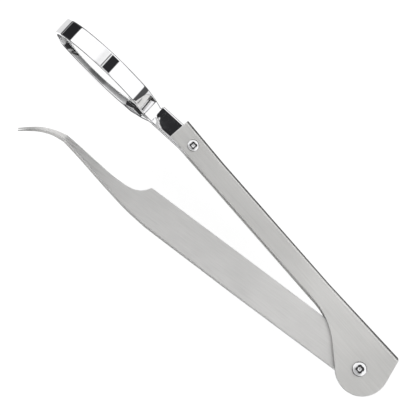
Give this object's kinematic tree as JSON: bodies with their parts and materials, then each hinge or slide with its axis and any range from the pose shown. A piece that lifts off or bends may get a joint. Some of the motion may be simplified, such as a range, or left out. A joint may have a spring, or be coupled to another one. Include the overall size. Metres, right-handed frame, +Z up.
{
  "type": "folding stamp tongs with magnifier",
  "caption": "Curved-tip stamp tongs of two sprung steel leaves, folding on a pivot screw out of a channel arm that carries a round lens in a chrome band.",
  "frame": {"origin": "centre of the pivot nut's flat rear face", "axes": "+Z up the pivot axis from the nut to the screw's head, +X along the arm's spine towards the lens, +Y towards the side the tongs fold out on"},
  "size_m": [0.1395, 0.0388, 0.0346],
  "materials": {
    "arm_steel": "satin",
    "leaf_steel": "satin",
    "polished_steel": "polished",
    "washer_steel": "satin",
    "chrome_band": "mirror",
    "lens_glass": "clear, polished"
  },
  "bodies": {
    "arm": {"arm_channel": "arm_steel", "pivot_screw": "polished_steel", "pivot_nut": "polished_steel", "front_washer": "washer_steel", "rear_washer": "washer_steel", "disc_spring": "washer_steel", "tang_screw": "polished_steel", "tang_nut": "polished_steel", "tang_sleeve": "washer_steel"},
    "tongs_root": {"root_spacer": "leaf_steel", "tail_rivet": "leaf_steel"},
    "front_jaw": {"front_leaf": "leaf_steel"},
    "rear_jaw": {"rear_leaf": "leaf_steel"},
    "lens_holder": {"lens_rim": "chrome_band", "lens": "lens_glass"}
  },
  "joints": [
    {"name": "tongs_fold", "type": "hinge", "parent": "arm", "child": "tongs_root", "pos_m": [0, 0, 0.0042], "axis": [0, 0, 1], "range_deg": [-7, 200]},
    {"name": "front_leaf_squeeze", "type": "hinge", "parent": "tongs_root", "child": "front_jaw", "pos_m": [-0.00734, -0.00156, 0.00445], "axis": [-0.2079, 0.9781, 0], "range_deg": [0, 1.3], "stiffness_Nm_per_rad": 4},
    {"name": "rear_leaf_squeeze", "type": "hinge", "parent": "tongs_root", "child": "rear_jaw", "pos_m": [-0.00734, -0.00156, 0.00395], "axis": [0.2079, -0.9781, 0], "range_deg": [0, 1.3], "stiffness_Nm_per_rad": 4},
    {"name": "lens_swivel", "type": "hinge", "parent": "arm", "child": "lens_holder", "pos_m": [0.0797, -0.00642, 0.0042], "axis": [0, 0, 1], "range_deg": [-6, 6]}
  ],
  "couplings": [
    {"joint": "rear_leaf_squeeze", "follows": "front_leaf_squeeze", "ratio": 1}
  ]
}
